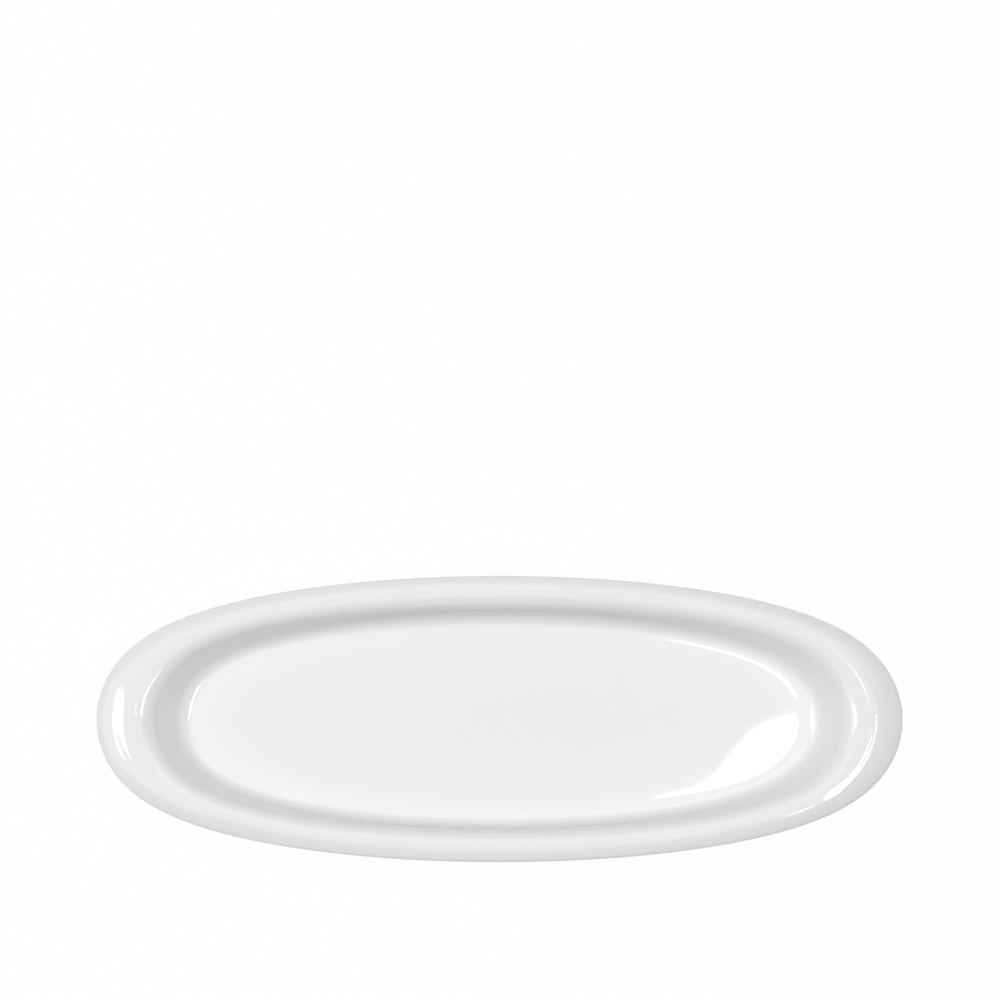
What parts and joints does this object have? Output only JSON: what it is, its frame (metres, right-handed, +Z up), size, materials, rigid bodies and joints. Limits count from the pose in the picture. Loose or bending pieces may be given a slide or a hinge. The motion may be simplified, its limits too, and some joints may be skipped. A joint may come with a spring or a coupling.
{
  "type": "asparagus plate",
  "caption": "Long oval white porcelain plate with a flat well, sloping wall, broad rolled rim and low foot ring, for serving asparagus.",
  "frame": {"origin": "middle of the foot ring, in the plane of its bearing face, which is the table", "axes": "+X along the plate's length, +Y across it, +Z up out of the well"},
  "size_m": [0.4, 0.142, 0.0275],
  "materials": {
    "bare_porcelain": "matt unglazed porcelain, ground smooth on the foot ring",
    "glaze": "clear high gloss glaze over white porcelain"
  },
  "bodies": {
    "root": {"porcelain_body": "bare_porcelain", "glaze_coat": "glaze", "base_glaze": "glaze"}
  },
  "joints": []
}
